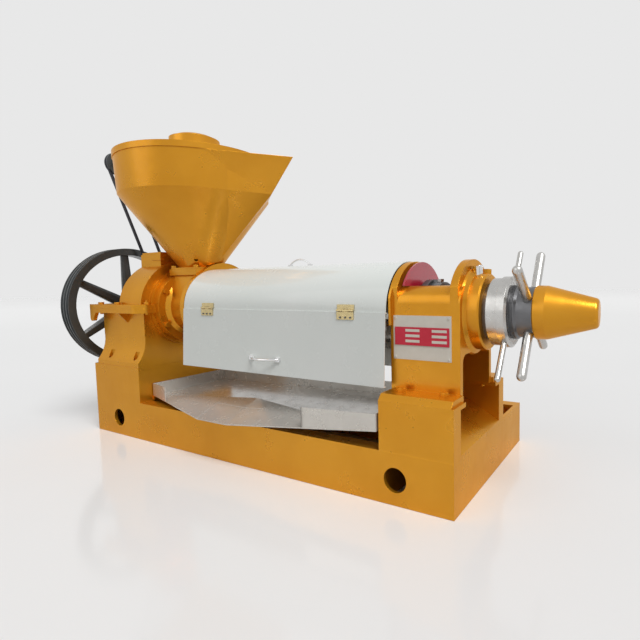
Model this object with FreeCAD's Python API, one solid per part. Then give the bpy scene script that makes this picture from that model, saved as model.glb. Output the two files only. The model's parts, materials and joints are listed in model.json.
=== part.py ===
import FreeCAD
import Part
import math
import os

V = FreeCAD.Vector

# Screw oil press. X runs along the press from the drive end to the discharge end, the operator
# stands on the -Y side, Z is up, and the origin is the middle of the base's footprint on the floor.

# ---- base ----
BASE_L = 1600.0          # length of the welded base
BASE_W = 638.0           # width of the welded base
RAIL_H = 143.0           # height of the rails
PEDESTAL_H = 279.0       # height of both pedestals
PEDESTAL_W = 422.0       # width of the pedestals; the rest of the base carries the motor
PLATE = 12.0             # plate of the welded base
DRIVE_PED_L = 303.0      # length of the pedestal under the gear case
CAKE_PED_L = 216.0       # length of the pedestal under the discharge frame
COLUMN_W = 47.0          # width of the two columns beside the cake chute
LIFT_HOLE_R = 34.0
LIFT_HOLE_Z = 69.0
LIFT_HOLE_IN = (155.0, 168.0)   # hole centre from the drive end and from the cake end
MOTOR_DECK_L = 560.0
SLOT_W = 18.0
SLOT_L = 70.0

# ---- press line ----
AXIS_H = 227.0           # axis of the screw above the pedestals
GAP = 0.3                # clearance between pieces that do not carry each other
SEAT = 0.15              # radial gap of a bearing ring in its housing
RUN = 0.05               # radial running clearance of a journal

# ---- gear case ----
CASE_L = 280.0
CASE_WALL = 12.0
CASE_IN = 33.0           # front wall behind the pedestal's face
FOOT_T = 18.0
SPLIT_FLANGE_T = 16.0
MAIN_COVER_R = 188.0
MAIN_COVER_L = 143.0
BOSS_R = 156.0
BOSS_T = 15.0
WEB_L = 36.0             # wall between the two gear stages

# ---- gears, all of one module ----
MODULE = 6.0
TEETH = {"input": 16, "first": 40, "pinion": 14, "main": 42}
FIRST_W = 40.0
SECOND_W = 60.0
BACKLASH = 1.0

# ---- shafts ----
MAIN_R = 40.0            # main shaft where the bearings carry it
STUB_R = 30.0            # left journal of the main shaft
INPUT_R = 25.0
MID_R = 25.0

# ---- drive pulley ----
WHEEL_R = 260.0
WHEEL_W = 62.0
WHEEL_RIM = 30.0
WHEEL_GAP = 100.0        # from the gear case to the pulley's near face
SPOKES = 6
GROOVES = 3

# ---- feed body and hopper ----
FEED_FLANGE_R = 145.0
FEED_FLANGE_T = 30.0
FEED_R = 104.0
FEED_L = 187.0           # gear case boss to the cage
FEED_END_R = 150.0
FEED_EAR_R = 184.0
FEED_END_T = 20.0
INLET_R = 66.0
INLET_W = 160.0
INLET_T = 24.0
INLET_H = 151.0          # top of the inlet seat above the axis
HOPPER_X = 109.0         # hopper centre from the gear case's end face
HOPPER_R = 279.0
HOPPER_LOW_R = 272.0
HOPPER_NECK_R = 76.0
HOPPER_CONE_H = 269.0
HOPPER_BAND_H = 129.0
HOPPER_LIP = (440.0, 343.0)   # spout tip from the centre at the rim and at the band's foot
SPOUT_TURN = 11.5        # degrees that the spout points behind the press line
SHEET = 3.0
LID_T = 21.0

# ---- press cage and cover ----
CAGE_BORE = 72.5
BAR_T = 19.0
BARS = 24
CAGE_R = 126.0
RINGS = 6
RING_W = 24.0
COVER_R = 148.0
COVER_T = 2.5
DOOR_DROP = 206.0        # door height below the axis
DOOR_LEAN = 12.0         # how far the door's foot stands out

# ---- screw ----
WORM_R = 70.0
WORM_ROOTS = (46.0, 48.0, 50.0, 53.0, 56.0, 59.0)
WORM_PITCHES = (100.0, 96.0, 92.0, 86.0, 80.0, 74.0)
FLIGHT_T = 9.0
CORE_R = 38.0            # shaft inside the worms
FIT = 0.05               # radial gap of keyed and pressed pieces on their shaft

# ---- discharge frame ----
FRAME_L = 207.0
FRAME_W = 256.0
FRAME_WALL = 18.0
FRAME_TOP = 74.0         # roof above the axis
ARCH_R = 146.0
ARCH_T = 22.0
CAKE_BOSS_R = 106.0
CAKE_BOSS_L = 40.0
GUARD_R = 144.0
COLLAR_R = 92.0

# ---- adjusting end ----
SLEEVE_R = 78.0
LOCK_R = 92.0
LOCK_W = 26.0
HUB_FLANGE_R = 96.0
HUB_R = 67.0
CONE_R = (71.0, 37.0)
CONE_L = 152.0
ROD_R = 12.5
ROD_TIP = 198.0
ROD_TURN = 55.0          # first rod from the horizontal
LOCK_ROD_R = 8.0
LOCK_ROD_TIP = 207.0
TRAVEL = 5.0             # axial travel of the shaft each way

# ---- feeder drive ----
BELT_W = 12.0
BELT_T = 8.0
SMALL_PULLEY_R = 42.0
HIGH_PULLEY_R = 47.0
FEEDER_Y = -49.0         # worm shaft beside the auger's axis
FEEDER_H = 64.0          # worm shaft above the lid's plate
DRUM_R = 92.0
DRUM_H = 102.0
AUGER_R = 14.0

# ---- oil tray ----
TRAY_T = 2.5
TRAY_WALL = 48.0
TRAY_LEFT_Z = 163.0
TRAY_RIGHT_Z = 193.0
TRAY_FRONT = 51.0        # front edge of the tray behind the base's face, at the drive end
TRAY_BACK = 37.0
LIP_OUT = 38.0
LIP_Z = 143.0
LIP = (387.0, 527.0)     # start and end of the pouring lip from the drive pedestal

# ---- places that follow ----
XL, XR = -BASE_L / 2, BASE_L / 2
YF, YB = -BASE_W / 2, BASE_W / 2
YM = YF + PEDESTAL_W
XP = XL + DRIVE_PED_L            # cake-side face of the drive pedestal
XQ = XR - CAKE_PED_L             # drive-side face of the cake pedestal
AY = (YF + YM) / 2
AZ = PEDESTAL_H + AXIS_H
CASE_X = XP - CASE_L
FEED_X = XP + BOSS_T             # face that the feed body bolts to
CAGE_X = FEED_X + FEED_L
FRAME_X = XQ - 6.0
FRAME_END = FRAME_X + FRAME_L
BOSS_END = FRAME_END + CAKE_BOSS_L
GEAR_CD = MODULE * (TEETH["input"] + TEETH["first"]) / 2
MID_Y = AY + GEAR_CD
HOP_X = XP + HOPPER_X
NECK_Z = AZ + INLET_H + 6.0
BAND_Z = NECK_Z + HOPPER_CONE_H
RIM_Z = BAND_Z + HOPPER_BAND_H


# ---- shapes ----
def box(x0, x1, y0, y1, z0, z1):
    return Part.makeBox(x1 - x0, y1 - y0, z1 - z0, V(x0, y0, z0))


def rod(r, x0, x1, y=AY, z=AZ):
    return Part.makeCylinder(r, x1 - x0, V(x0, y, z), V(1, 0, 0))


def ring(r, bore, x0, x1, y=AY, z=AZ):
    return rod(r, x0, x1, y, z).cut(rod(bore, x0 - 1, x1 + 1, y, z))


def post(r, x, y, z0, z1):
    return Part.makeCylinder(r, z1 - z0, V(x, y, z0))


def face_of(path, place):
    """Closed outline from points; an item of two points is an arc through the first to the second."""
    edges = []
    last = place(*path[0])
    first = last
    for item in list(path[1:]) + [path[0]]:
        if isinstance(item[0], tuple):
            mid, end = place(*item[0]), place(*item[1])
            edges.append(Part.Arc(last, mid, end).toShape())
        else:
            end = place(*item)
            if end.distanceToPoint(last) > 1e-6:
                edges.append(Part.makeLine(last, end))
        last = end
    if last.distanceToPoint(first) > 1e-6:
        edges.append(Part.makeLine(last, first))
    return Part.Face(Part.Wire(edges))


def prism_x(path, x0, x1):
    return face_of(path, lambda y, z: V(x0, y, z)).extrude(V(x1 - x0, 0, 0))


def prism_y(path, y0, y1):
    return face_of(path, lambda x, z: V(x, y0, z)).extrude(V(0, y1 - y0, 0))


def prism_z(path, z0, z1):
    return face_of(path, lambda x, y: V(x, y, z0)).extrude(V(0, 0, z1 - z0))


def turned(path, y=AY, z=AZ):
    """Solid turned about a line along X through (y, z); the path is in (x, radius)."""
    return face_of(path, lambda x, r: V(x, y, z + r)).revolve(V(0, y, z), V(1, 0, 0), 360)


def fuse(shapes):
    shapes = list(shapes)
    return shapes[0].multiFuse(shapes[1:]).removeSplitter() if len(shapes) > 1 else shapes[0]


def group(shapes):
    return Part.makeCompound(list(shapes))


def around(shape, angle, y=AY, z=AZ):
    """The shape turned by angle degrees about the line along X through (y, z)."""
    copy = shape.copy()
    copy.rotate(V(0, y, z), V(1, 0, 0), angle)
    return copy


def upper(shape):
    return shape.common(box(-3 * BASE_L, 3 * BASE_L, -BASE_L, BASE_L, AZ, AZ + BASE_L))


def lower(shape):
    return shape.common(box(-3 * BASE_L, 3 * BASE_L, -BASE_L, BASE_L, AZ - BASE_L, AZ))


def bolt(at, way, r, shank, head=0.7):
    """Hex bolt whose head stands on at and whose shank runs against way."""
    corners = [V(1.75 * r * math.cos(a), 1.75 * r * math.sin(a), 0)
               for a in (math.radians(60 * k) for k in range(7))]
    cap = Part.Face(Part.makePolygon(corners)).extrude(V(0, 0, 2 * r * head))
    solid = cap.fuse(Part.makeCylinder(r, shank, V(0, 0, -shank)))
    solid.Placement = FreeCAD.Placement(V(*at), FreeCAD.Rotation(V(0, 0, 1), V(*way)))
    return solid


def hole(at, way, r, depth):
    return Part.makeCylinder(r, depth + 1, V(*at) + V(*way), V(*way) * -1)


parts = {}


# ---- base ----
def hollow_column(x0, x1, y0, y1, z0, z1):
    inside = box(x0 + PLATE, x1 - PLATE, y0 + PLATE, y1 - PLATE, z0 - 1, z1 - PLATE)
    return box(x0, x1, y0, y1, z0, z1).cut(inside)


def foot_bolt_places():
    """Bolts of the gear case and of the discharge frame, on the pedestals."""
    case = [(x, YF + PLATE + FOOT_R + 3) for x in (CASE_X + 73, CASE_X + 243)]
    case += [(x, YM - PLATE - FOOT_R - 3) for x in (CASE_X + 22, CASE_X + 190)]
    frame = [(x, y) for x in (FRAME_X + 46, FRAME_X + 172)
             for y in (YF + COLUMN_W + FOOT_R + 4, YM - COLUMN_W - FOOT_R - 4)]
    return case, frame


FOOT_R = 7.0
FOOT_HOLE_R = FOOT_R + 0.5
CHUTE_T = 7.0
CHUTE_TOP_Z = PEDESTAL_H - PLATE - CHUTE_T - GAP
CHUTE_SLOPE = (CHUTE_TOP_Z - RAIL_H) / CAKE_PED_L
SHELF_IN = 36.0          # pedestal top plate reaching in over the chute


def weldment(plates, holes):
    """Plates that meet face to face, each trimmed by the plates before it."""
    solids = []
    for plate in plates:
        for solid in (plate.cut(solids) if solids else plate).Solids:
            solids.append(solid.cut(holes))
    return group(solids)


def open_box(x0, x1, y0, y1, z0, z1):
    """Four walls and a top plate."""
    return [box(x0, x1, y0, y1, z1 - PLATE, z1), box(x0, x1, y0, y0 + PLATE, z0, z1),
            box(x0, x1, y1 - PLATE, y1, z0, z1), box(x0, x0 + PLATE, y0, y1, z0, z1),
            box(x1 - PLATE, x1, y0, y1, z0, z1)]


def base_frame():
    z = RAIL_H - PLATE
    shelf = COLUMN_W + SHELF_IN
    rails = [box(XL, XR, y, y + PLATE, 0, RAIL_H) for y in (YF, YM - PLATE, YB - PLATE)]
    cross = [box(x, x + PLATE, YF, YB, 0, z) for x in (XL, XP - PLATE, XQ, XR - PLATE)]
    flanges = [box(XL, XR, y, y + COLUMN_W, z, RAIL_H) for y in (YF, YM - COLUMN_W, YB - COLUMN_W)]
    flanges += [box(x, x + PLATE, YF, YB, z, RAIL_H) for x in (XL, XP - PLATE, XQ, XR - PLATE)]
    deck = [box(XL, XL + MOTOR_DECK_L, YM, YB, z, RAIL_H)]
    drive = open_box(XL, XP, YF, YM, RAIL_H, PEDESTAL_H)
    columns = [hollow_column(XQ, XR, y, y + COLUMN_W, RAIL_H, PEDESTAL_H) for y in (YF, YM - COLUMN_W)]
    shelves = [box(XQ, XR, y, y + shelf, PEDESTAL_H - PLATE, PEDESTAL_H) for y in (YF, YM - shelf)]
    sill = [box(XQ, XQ + PLATE, YF, YM, RAIL_H, CHUTE_TOP_Z - CHUTE_SLOPE * PLATE)]
    holes = [Part.makeCylinder(LIFT_HOLE_R, PLATE + 2, V(x, YF - 1, LIFT_HOLE_Z), V(0, 1, 0))
             for x in (XL + LIFT_HOLE_IN[0], XR - LIFT_HOLE_IN[1])]
    case, frame = foot_bolt_places()
    holes += [post(FOOT_HOLE_R, x, y, PEDESTAL_H - PLATE - 1, PEDESTAL_H + 1) for x, y in case + frame]
    for x, y in motor_slots():
        slot = [(x - SLOT_W / 2, y - SLOT_L / 2), (x + SLOT_W / 2, y - SLOT_L / 2),
                (x + SLOT_W / 2, y + SLOT_L / 2), (x - SLOT_W / 2, y + SLOT_L / 2)]
        holes.append(prism_z(slot, z - 1, RAIL_H + 1))
    return weldment(rails + cross + flanges + deck + drive + shelves + columns + sill, holes)


def motor_slots():
    middle = (YM + YB) / 2
    return [(XL + 130 + dx, middle + dy) for dx in (0, 254) for dy in (-50, 50)]


def cake_chute():
    y0, y1 = YF + COLUMN_W + GAP, YM - COLUMN_W - GAP
    path = [(XQ, CHUTE_TOP_Z), (XR, RAIL_H), (XR, RAIL_H + CHUTE_T), (XQ, CHUTE_TOP_Z + CHUTE_T)]
    plate = prism_y(path, y0, y1)
    rim = prism_y([(XQ, CHUTE_TOP_Z), (XQ + PLATE, CHUTE_TOP_Z - CHUTE_SLOPE * PLATE),
                   (XQ + PLATE, PEDESTAL_H - PLATE - GAP), (XQ, PEDESTAL_H - PLATE - GAP)], y0, y1)
    return fuse([plate, rim])


parts["base_frame"] = base_frame()
parts["cake_chute"] = cake_chute()

# ---- gear case ----
BORE_BIG = 62.0          # housing of the main bearings
BORE_MID = 45.0          # housing of the intermediate shaft's bearings
BORE_STUB = 50.0         # housing in the web
REAR_IN = MODULE * (TEETH["first"] / 2 + 1) + 6      # room round the first-stage gear
REAR_WALL = MID_Y + REAR_IN + CASE_WALL
FLANGE_Y = (YF - 6, REAR_WALL + 18)
FLANGE_X = (XL, XP + 27)
WEB_X = CASE_X + 81.0
COVER_X = XP - MAIN_COVER_L
FIRST_X = CASE_X + 32.0
SECOND_X = COVER_X + 20.0
MID_END_X = XP - 8.0     # bottom of the blind bore of the intermediate shaft


def split_flange(z0, z1):
    r = 45.0
    x0, x1 = FLANGE_X
    y0, y1 = FLANGE_Y
    k = r * (1 - math.sqrt(0.5))
    return prism_z([(x0, y0), (x1 - r, y0), ((x1 - k, y0 + k), (x1, y0 + r)), (x1, y1 - r),
                    ((x1 - k, y1 - k), (x1 - r, y1)), (x0, y1)], z0, z1)


def case_bores():
    return [
        rod(FEED_FLANGE_R + GAP, FEED_X, FLANGE_X[1] + 1),
        rod(INPUT_R + 4, FLANGE_X[0] - 1, CASE_X + 1),
        rod(MID_R + 4, FLANGE_X[0] - 1, CASE_X + 1, MID_Y),
        rod(BORE_BIG + SEAT, XP - CASE_WALL - 3, XP + BOSS_T + 1),
        rod(BORE_STUB + SEAT, WEB_X, COVER_X + CASE_WALL),
        rod(BORE_STUB + SEAT, CASE_X - 1, CASE_X + 22),
        rod(BORE_MID + SEAT, CASE_X - 1, CASE_X + 22, MID_Y),
        rod(BORE_MID + SEAT, MID_END_X - 24, MID_END_X, MID_Y),
        rod(MID_R + 5, WEB_X - 1, WEB_X + WEB_L + 1, MID_Y),
    ] + [rod(FEED_BOLT_R + 0.5, XP - 1, FEED_X + 1, y, z) for _, y, z in feed_bolt_places()]


FEED_BOLT_R = 7.0


def feed_bolt_places():
    r = (FEED_FLANGE_R + FEED_R + 14) / 2
    return [(FEED_X + FEED_FLANGE_T, AY + r * math.cos(a), AZ + r * math.sin(a))
            for a in (math.radians(degrees) for degrees in (-30, 30, 150, 210, 255, 285))]


def case_bolt_places():
    return [(FLANGE_X[0] + 55, FLANGE_Y[0] + 16), (FLANGE_X[0] + 172, FLANGE_Y[0] + 16),
            (FLANGE_X[1] - 15, FLANGE_Y[0] + 46),
            (FLANGE_X[0] + 55, FLANGE_Y[1] - 12), (FLANGE_X[0] + 172, FLANGE_Y[1] - 12),
            (FLANGE_X[1] - 15, FLANGE_Y[1] - 46)]


def gear_case_lower():
    front = YF + CASE_IN
    z0, z1 = PEDESTAL_H, AZ - SPLIT_FLANGE_T - 2
    rear_foot = YM - 2
    outer = prism_x([(YF + 1, z0), (YF + 1, z0 + FOOT_T), ((front - 5.5, z0 + 66), (front, z0 + 121)),
                     (front, z1), (REAR_WALL, z1), (REAR_WALL, AZ - REAR_IN * 0.7),
                     (rear_foot - 26, z0 + 60), (rear_foot - 26, z0 + FOOT_T), (rear_foot, z0 + FOOT_T),
                     (rear_foot, z0)], CASE_X, XP)
    inner_path = [(front + CASE_WALL, z0 + CASE_WALL + 4), (rear_foot - 26 - CASE_WALL, z0 + CASE_WALL + 4),
                  (rear_foot - 26 - CASE_WALL, z0 + 68), (MID_Y + REAR_IN, AZ - REAR_IN * 0.6),
                  (MID_Y + REAR_IN, AZ + 1), (front + CASE_WALL, AZ + 1)]
    rooms = [prism_x(inner_path, CASE_X + CASE_WALL, WEB_X),
             prism_x(inner_path, WEB_X + WEB_L, XP - CASE_WALL)]
    case = fuse([outer, split_flange(z1, AZ), lower(rod(BOSS_R, XP - 1, XP + BOSS_T))])
    case = case.cut(rooms)
    bosses = [lower(rod(BORE_STUB + 12, CASE_X, CASE_X + 20)),
              lower(rod(BORE_MID + 12, CASE_X, CASE_X + 20, MID_Y)),
              lower(rod(BORE_MID + 12, MID_END_X - 24, XP - 1, MID_Y))]
    hook = prism_y([(XL, z1), (XL, z1 - 22), ((XL + 12, z1 - 34), (XL + 24, z1 - 22)),
                    (XL + 40, z1)], FLANGE_Y[0], FLANGE_Y[0] + 14)
    rib = prism_x([(FLANGE_Y[0] + 4, z1), (front, z1), (front, z1 - 40)], CASE_X + 163, CASE_X + 172)
    case = fuse([case] + bosses + [hook, rib])
    case = case.cut(case_bores())
    places, _ = foot_bolt_places()
    holes = [post(FOOT_HOLE_R, x, y, z0 - 1, z0 + FOOT_T + 4) for x, y in places]
    spots = [post(2 * FOOT_R, x, y, z0 + FOOT_T, z0 + FOOT_T + 40) for x, y in places]
    holes += [post(6.5, x, y, z1 - 1, AZ + 1) for x, y in case_bolt_places()]
    return case.cut(holes + spots)


TOP_BOX_Y = 90.0
TOP_BOX_Z = AZ + 215.0
INSPECT_T = 8.0


def gear_case_upper():
    rear = MID_Y + REAR_IN + CASE_WALL
    outers = [
        rod(MAIN_COVER_R, COVER_X, XP),
        rod(REAR_IN + CASE_WALL, CASE_X, WEB_X + CASE_WALL, MID_Y),
        rod(BORE_STUB + 18, CASE_X, COVER_X + 10),
        rod(64.0, CASE_X, XP, MID_Y),
        box(COVER_X, XP - 13, AY - TOP_BOX_Y, AY + TOP_BOX_Y, AZ + 80, TOP_BOX_Z),
        box(COVER_X + 76, XP, AY - TOP_BOX_Y - 8, AY - TOP_BOX_Y + 8, AZ + 190, AZ + 196),
        rod(BOSS_R, XP - 1, XP + BOSS_T),
    ]
    case = fuse([upper(s) for s in outers] + [split_flange(AZ, AZ + SPLIT_FLANGE_T)])
    rooms = [
        rod(MAIN_COVER_R - CASE_WALL, COVER_X + CASE_WALL, XP - CASE_WALL),
        rod(REAR_IN, CASE_X + CASE_WALL, WEB_X, MID_Y),
        rod(BORE_STUB + 6, CASE_X + 20, WEB_X),
        rod(52.0, WEB_X + WEB_L, MID_END_X - 24, MID_Y),
        box(COVER_X + 14, XP - 27, AY - TOP_BOX_Y + 20, AY + TOP_BOX_Y - 20, AZ + 80, TOP_BOX_Z + 1),
    ]
    case = case.cut(rooms).cut(case_bores())
    holes = [post(6.5, x, y, AZ - 1, AZ + SPLIT_FLANGE_T + 1) for x, y in case_bolt_places()]
    clear = [post(15.0, x, y, AZ + SPLIT_FLANGE_T, AZ + SPLIT_FLANGE_T + 16) for x, y in case_bolt_places()]
    return case.cut(holes + clear)


def inspection_cover():
    plate = box(COVER_X + 4, XP - 17, AY - TOP_BOX_Y + 4, AY + TOP_BOX_Y - 4, TOP_BOX_Z, TOP_BOX_Z + INSPECT_T)
    x0, x1 = COVER_X + 14, XP - 27
    spigot = box(x0 + GAP, x1 - GAP, AY - TOP_BOX_Y + 20 + GAP, AY + TOP_BOX_Y - 20 - GAP,
                 TOP_BOX_Z - 4, TOP_BOX_Z)
    plug = Part.makeCylinder(13, 16, V(COVER_X + 60, AY + 30, TOP_BOX_Z + INSPECT_T))
    return fuse([plate, spigot, plug])


def foot_bolts():
    case, frame = foot_bolt_places()
    return group([bolt((x, y, PEDESTAL_H + FOOT_T), (0, 0, 1), FOOT_R, FOOT_T + PLATE + 8) for x, y in case]
                 + [bolt((x, y, PEDESTAL_H + FRAME_FOOT_T), (0, 0, 1), FOOT_R, FRAME_FOOT_T + PLATE + 8)
                    for x, y in frame])


FRAME_FOOT_T = 16.0
parts["gear_case_lower"] = gear_case_lower()
parts["gear_case_upper"] = gear_case_upper()
parts["inspection_cover"] = inspection_cover()
parts["foot_bolts"] = foot_bolts()
parts["case_bolts"] = group([bolt((x, y, AZ + SPLIT_FLANGE_T), (0, 0, 1), 6.0, 2 * SPLIT_FLANGE_T + 8)
                             for x, y in case_bolt_places()])


# ---- gears and shafts ----
def gear(teeth, bore, x0, x1, y=AY, turn=0.0, web=0.0):
    """Spur gear with involute flanks; turn is the angle of one tooth's middle in degrees."""
    pitch_r = MODULE * teeth / 2
    base_r = pitch_r * math.cos(math.radians(20))
    root_r, tip_r = pitch_r - 1.25 * MODULE, pitch_r + MODULE
    half = math.pi / (2 * teeth) - BACKLASH / (2 * pitch_r)
    inv = math.tan(math.radians(20)) - math.radians(20)

    def half_angle(r):
        if r <= base_r:
            return half + inv
        a = math.acos(base_r / r)
        return half + inv - (math.tan(a) - a)

    radii = [root_r, max(base_r, root_r + 1), pitch_r, tip_r]
    points = []
    for k in range(teeth):
        mid = 2 * math.pi * k / teeth + math.radians(turn)
        flank = [(r, half_angle(r)) for r in radii]
        for r, a in flank + [(r, -a) for r, a in reversed(flank)]:
            points.append(V(x0, y + r * math.cos(mid - a), AZ + r * math.sin(mid - a)))
    points.append(points[0])
    solid = Part.Face(Part.makePolygon(points)).extrude(V(x1 - x0, 0, 0))
    if web:
        for side in (x0 - 1, x1 - web):
            solid = solid.cut(ring(root_r - 12, bore + 18, side, side + web + 1, y))
    return solid.cut(rod(bore + FIT, x0 - 1, x1 + 1, y))


WHEEL_X1 = CASE_X - WHEEL_GAP
WHEEL_X0 = WHEEL_X1 - WHEEL_W
BELT_X = CASE_X - 76.0   # drive-side face of the feeder belt
MAIN_END = BOSS_END + 62.0


def input_shaft():
    end = WEB_X + WEB_L / 2
    return turned([(WHEEL_X0 - 6, 0), (WHEEL_X0 - 6, INPUT_R - 3), (CASE_X - 30, INPUT_R - 3),
                   (CASE_X - 30, INPUT_R), (end, INPUT_R), (end, 0)])


def intermediate_shaft():
    return turned([(BELT_X - 6, 0), (BELT_X - 6, 17), (CASE_X - 30, 17), (CASE_X - 30, MID_R),
                   (MID_END_X - 1, MID_R), (MID_END_X - 1, 0)], MID_Y)


parts["input_shaft"] = input_shaft()
parts["input_pinion"] = gear(TEETH["input"], INPUT_R, FIRST_X - 2, FIRST_X + FIRST_W + 2, AY)
parts["intermediate_shaft"] = intermediate_shaft()
parts["first_gear"] = gear(TEETH["first"], MID_R, FIRST_X, FIRST_X + FIRST_W, MID_Y, 180.0 / TEETH["first"], 10)
parts["second_pinion"] = gear(TEETH["pinion"], MID_R, SECOND_X - 8, SECOND_X + SECOND_W + 8, MID_Y,
                              180.0 + 180.0 / TEETH["pinion"])
parts["main_gear"] = gear(TEETH["main"], MAIN_R, SECOND_X, SECOND_X + SECOND_W, AY, 0.0, 14)

parts["shaft_bearings"] = group([
    ring(BORE_STUB, INPUT_R + RUN, CASE_X, CASE_X + 20),
    ring(BORE_STUB, INPUT_R + RUN, WEB_X, WEB_X + WEB_L / 2 - 1),
    ring(BORE_MID, MID_R + RUN, CASE_X, CASE_X + 20, MID_Y),
    ring(BORE_MID, MID_R + RUN, MID_END_X - 24, MID_END_X - 2, MID_Y),
    ring(BORE_STUB, STUB_R + RUN, WEB_X + WEB_L / 2 + 1, WEB_X + WEB_L),
    ring(BORE_BIG, MAIN_R + RUN, XP - CASE_WALL - 3, XP + BOSS_T - 2)])


# ---- drive pulley ----
def drive_pulley():
    x0, x1 = WHEEL_X0, WHEEL_X1
    rim_in = WHEEL_R - WHEEL_RIM
    step = WHEEL_W / GROOVES
    path = [(x0, rim_in), (x0, WHEEL_R)]
    for k in range(GROOVES):
        g = x0 + step * k
        path += [(g + 2.5, WHEEL_R), (g + 6.5, WHEEL_R - 14), (g + step - 6.5, WHEEL_R - 14),
                 (g + step - 2.5, WHEEL_R)]
    path += [(x1, WHEEL_R), (x1, rim_in)]
    rim = turned(path)
    hub = turned([(x0 - 4, INPUT_R - 3), (x0 - 4, 46), (x1 + 8, 46), (x1 + 8, INPUT_R - 3)])
    middle = (x0 + x1) / 2
    spokes = []
    for k in range(SPOKES):
        low = Part.makePolygon([V(middle + a * 13, AY + b * 24, AZ + 36)
                                for a, b in ((-1, -.5), (-1, .5), (-.5, 1), (.5, 1), (1, .5), (1, -.5),
                                             (.5, -1), (-.5, -1), (-1, -.5))])
        high = Part.makePolygon([V(middle + a * 10, AY + b * 15, AZ + rim_in + 4)
                                 for a, b in ((-1, -.5), (-1, .5), (-.5, 1), (.5, 1), (1, .5), (1, -.5),
                                              (.5, -1), (-.5, -1), (-1, -.5))])
        spoke = Part.makeLoft([low, high], True, True)
        spokes.append(around(spoke, 360.0 / SPOKES * k + 2))
    wheel = fuse([rim, hub] + spokes)
    return wheel.cut(rod(INPUT_R - 3, x0 - 10, x1 + 10))


parts["drive_pulley"] = drive_pulley()


# ---- feed body ----
EAR_T = 12.0


def feed_body():
    x0, x1 = FEED_X, CAGE_X
    neck = XP + HOPPER_X
    top = AZ + INLET_H
    barrel = turned([(x0, CAGE_BORE), (x0, FEED_FLANGE_R), (x0 + FEED_FLANGE_T, FEED_FLANGE_R),
                     (x0 + FEED_FLANGE_T, FEED_R + 14), (x0 + FEED_FLANGE_T + 14, FEED_R),
                     (x1 - FEED_END_T - 10, FEED_R), (x1 - FEED_END_T, FEED_R + 10),
                     (x1 - FEED_END_T, FEED_END_R), (x1, FEED_END_R), (x1, CAGE_BORE)])
    ear = prism_x([(AY - 70, AZ), (AY - 70, AZ + 128),
                   ((AY + FEED_EAR_R * math.sin(math.radians(20)), AZ + FEED_EAR_R * math.cos(math.radians(20))),
                    (AY + FEED_EAR_R, AZ)), (AY + FEED_EAR_R - 40, AZ - 60), (AY, AZ - 100)],
                  x1 - EAR_T, x1)
    half = INLET_W / 2
    seat = box(neck - half, neck + half, AY - half - 2, AY + half + 2, top - INLET_T, top)
    low = Part.makePolygon([V(neck + a * (half - 14), AY + b * (FEED_R - 8), AZ + 40)
                            for a, b in ((-1, -1), (1, -1), (1, 1), (-1, 1), (-1, -1))])
    high = Part.makePolygon([V(neck + a * (half - 6), AY + b * (half - 8), top - INLET_T + 1)
                             for a, b in ((-1, -1), (1, -1), (1, 1), (-1, 1), (-1, -1))])
    riser = Part.makeLoft([low, high], True, True)
    body = fuse([barrel, ear, seat, riser])
    slope = (HOPPER_LOW_R - HOPPER_NECK_R) / HOPPER_CONE_H
    cone = Part.makeCone(HOPPER_NECK_R + 3, HOPPER_NECK_R + 3 + 60 * slope, 60, V(HOP_X, AY, NECK_Z))
    body = body.cut([rod(CAGE_BORE, x0 - 1, x1 + 1), post(INLET_R, neck, AY, AZ, top + 1), cone])
    holes = [hole(p, (1, 0, 0), FEED_BOLT_R + 0.5, FEED_FLANGE_T) for p in feed_bolt_places()]
    holes += [post(6.5, x, y, top - 20, top + 1) for x, y in seat_bolt_places()]
    return body.cut(holes)


def seat_bolt_places():
    return [(XP + HOPPER_X + sx * 67, AY + sy * 69) for sx in (-1, 1) for sy in (-1, 1)]


parts["feed_body"] = feed_body()
parts["feed_bolts"] = group([bolt(p, (1, 0, 0), FEED_BOLT_R, FEED_FLANGE_T + BOSS_T - 1)
                             for p in feed_bolt_places()])


# ---- hopper ----
def polyhedron(corners, faces):
    """Solid with flat faces; corners by name, each face a string of corner names."""
    flat = []
    for names in faces:
        points = [corners[n] for n in names]
        flat.append(Part.Face(Part.makePolygon(points + [points[0]])))
    shell = Part.makeShell(flat)
    shell.sewShape()
    solid = Part.makeSolid(shell)
    if solid.Volume < 0:
        solid.reverse()
    return solid


def spout(inset):
    """Plates that meet in the spout's crease and run out on the drum and the cone."""
    turn = math.radians(SPOUT_TURN)
    spread = math.acos(HOPPER_R / HOPPER_LIP[0])
    shift = inset / math.cos(spread)

    def at(radius, angle, z):
        return V(HOP_X - shift * math.cos(turn) + radius * math.cos(turn + angle),
                 AY - shift * math.sin(turn) + radius * math.sin(turn + angle), z)

    rim, foot = RIM_Z, BAND_Z
    corners = {"A": at(HOPPER_R - 1, spread, rim), "B": at(HOPPER_R - 1, -spread, rim),
               "T": at(HOPPER_LIP[0], 0, rim), "a": at(HOPPER_LOW_R - 1, spread, foot),
               "b": at(HOPPER_LOW_R - 1, -spread, foot), "t": at(HOPPER_LIP[1], 0, foot),
               "n": at(HOPPER_NECK_R - 3, 0, NECK_Z + 8)}
    solid = polyhedron(corners, ["ABT", "ATt", "Ata", "atn", "BTt", "Btb", "btn", "AabB", "abn"])
    if inset:
        top = Part.Face(Part.makePolygon([corners[n] for n in "ABTA"]))
        solid = solid.fuse(top.extrude(V(0, 0, 5)))
    return solid


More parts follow.
